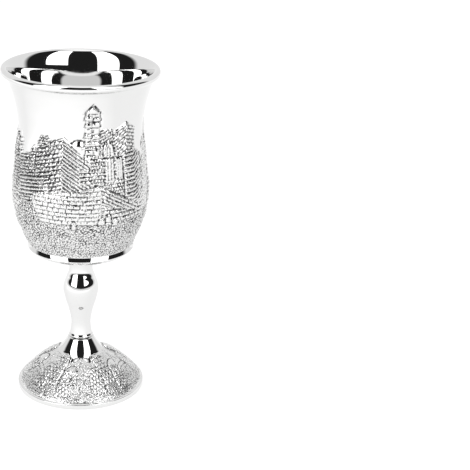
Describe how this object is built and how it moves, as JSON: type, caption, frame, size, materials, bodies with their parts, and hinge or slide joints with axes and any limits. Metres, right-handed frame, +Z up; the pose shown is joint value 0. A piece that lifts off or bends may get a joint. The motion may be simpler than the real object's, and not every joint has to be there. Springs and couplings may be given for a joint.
{
  "type": "footed kiddush cup",
  "caption": "Footed silver-coloured kiddush cup: flared hollow bowl with a walled-city relief, turned baluster stem and domed hollow foot.",
  "frame": {"origin": "centre of the foot's underside, on the surface that the cup stands on", "axes": "+Z up along the cup's axis; -Y is the front, where the tall tiered tower and the big corner building are"},
  "size_m": [0.064, 0.064, 0.14],
  "materials": {
    "relief_silver": "bright silver plate over a cast relief, with darker recesses and polished plain bands",
    "polished_silver": "mirror-bright silver plate"
  },
  "bodies": {
    "root": {"bowl": "relief_silver", "stem": "polished_silver", "foot": "relief_silver"}
  },
  "joints": []
}
